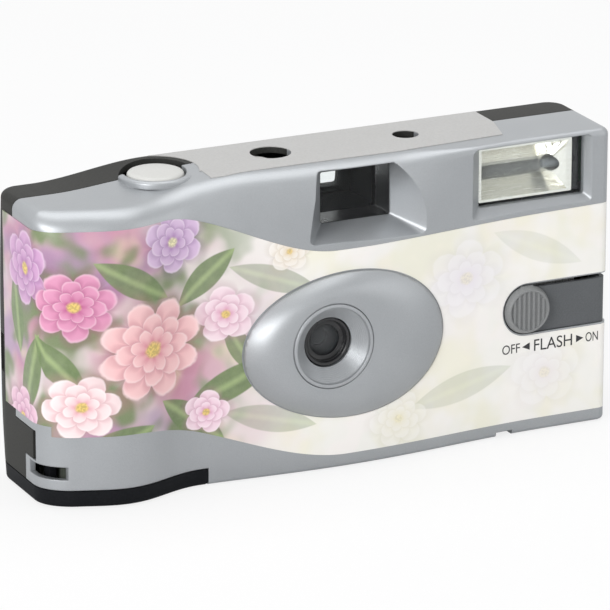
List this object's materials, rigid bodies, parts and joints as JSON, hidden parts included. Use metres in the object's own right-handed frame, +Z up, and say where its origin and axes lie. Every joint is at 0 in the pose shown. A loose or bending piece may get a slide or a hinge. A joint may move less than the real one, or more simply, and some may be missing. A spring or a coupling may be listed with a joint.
{
  "type": "single-use film camera",
  "caption": "Flat single-use film camera with a swelling grip, round lens pod, viewfinder, built-in flash, slide switch, thumb wheel and a film door under the grip.",
  "frame": {"origin": "middle of the camera's box at its base", "axes": "+X to the right seen from the front, the lens faces -Y, +Z up"},
  "size_m": [0.1202, 0.0318, 0.0602],
  "materials": {
    "silver_plastic": "satin metallic paint",
    "grey_plastic": "fine matt texture",
    "black_plastic": "satin",
    "white_plastic": "smooth",
    "slate_plastic": "satin",
    "label_print": "coated, printed in pastel colours",
    "label_plain": "coated",
    "clear_plastic": "clear",
    "spring_steel": "bright wire",
    "bright_metal": "polished",
    "tube_glass": "clear",
    "board": "solder mask",
    "sleeve": "shrunk sleeve",
    "winding": "taped copper winding",
    "cell": "lacquer",
    "lamp": "dark tinted",
    "film": "thin film base",
    "cassette_metal": "lacquer"
  },
  "bodies": {
    "housing": {"front_cover": "silver_plastic", "rear_cover": "grey_plastic", "main_frame": "black_plastic", "front_label": "label_print", "top_label": "label_plain", "button_spring": "spring_steel", "kick_spring": "spring_steel", "blade_spring": "spring_steel", "lens_bezel": "silver_plastic", "lens_barrel": "black_plastic", "lens_element": "clear_plastic", "aperture_plate": "black_plastic", "finder_front_lens": "clear_plastic", "finder_rear_lens": "clear_plastic", "flash_window": "clear_plastic", "flash_reflector": "bright_metal", "flash_tube": "tube_glass", "circuit_board": "board", "flash_capacitor": "sleeve", "flash_transformer": "winding", "battery": "cell", "battery_plus_contact": "spring_steel", "battery_minus_contact": "spring_steel", "ready_lamp": "lamp", "switch_panel": "slate_plastic", "switch_contact": "spring_steel", "ratchet_pawl": "white_plastic", "film_cassette": "cassette_metal", "film_strip": "film"},
    "button": {"shutter_button": "white_plastic"},
    "release": {"release_lever": "white_plastic"},
    "kick": {"kick_lever": "grey_plastic"},
    "blade": {"shutter_blade": "black_plastic"},
    "wheel": {"thumb_wheel": "black_plastic", "cassette_spool": "black_plastic"},
    "sprocket": {"sprocket_wheel": "white_plastic"},
    "supply": {"supply_spool": "black_plastic", "film_roll": "film"},
    "counter": {"counter_dial": "white_plastic"},
    "door": {"film_door": "black_plastic"},
    "switch": {"flash_switch": "slate_plastic"}
  },
  "joints": [
    {"name": "button_press", "type": "slide", "parent": "housing", "child": "button", "axis": [0, 0, -1], "range_m": [0, 0.0012], "stiffness_N_per_m": 700, "springref_m": -0.0004, "deforming": ["button_spring"]},
    {"name": "release_rock", "type": "hinge", "parent": "housing", "child": "release", "pos_m": [-0.0206, 0.0004, 0.0475], "axis": [0, -1, 0], "range_deg": [0, 12]},
    {"name": "kick_swing", "type": "hinge", "parent": "housing", "child": "kick", "pos_m": [-0.0145, -0.00925, 0.0291], "axis": [0, 1, 0], "range_deg": [0, 21], "stiffness_Nm_per_rad": 0.002, "springref_deg": -5.73},
    {"name": "blade_swing", "type": "hinge", "parent": "housing", "child": "blade", "pos_m": [-0.008, -0.00765, 0.0316], "axis": [0, 1, 0], "range_deg": [0, 35.1]},
    {"name": "wheel_turn", "type": "hinge", "parent": "housing", "child": "wheel", "pos_m": [-0.0435, 0.0003, 0.03], "axis": [0, 0, 1], "continuous": true},
    {"name": "sprocket_turn", "type": "hinge", "parent": "housing", "child": "sprocket", "pos_m": [-0.0222, 0.00485, 0.042], "axis": [0, 0, 1], "continuous": true},
    {"name": "supply_turn", "type": "hinge", "parent": "housing", "child": "supply", "pos_m": [0.0334, 0.00245, 0.026], "axis": [0, 0, 1], "continuous": true},
    {"name": "counter_turn", "type": "hinge", "parent": "housing", "child": "counter", "pos_m": [-0.0128, 0.0031, 0.057], "axis": [0, 0, 1], "continuous": true},
    {"name": "door_open", "type": "hinge", "parent": "housing", "child": "door", "pos_m": [-0.0275, 0, 0.0009], "axis": [0, -1, 0], "range_deg": [0, 95]},
    {"name": "switch_slide", "type": "slide", "parent": "housing", "child": "switch", "axis": [1, 0, 0], "range_m": [0, 0.0095]}
  ],
  "couplings": [
    {"joint": "release_rock", "follows": "button_press", "rad_per_m": 138.9},
    {"joint": "blade_swing", "follows": "kick_swing", "ratio": 1.67},
    {"joint": "sprocket_turn", "follows": "wheel_turn", "ratio": 1.4},
    {"joint": "supply_turn", "follows": "wheel_turn", "ratio": 1.02},
    {"joint": "counter_turn", "follows": "wheel_turn", "ratio": -0.0389}
  ]
}
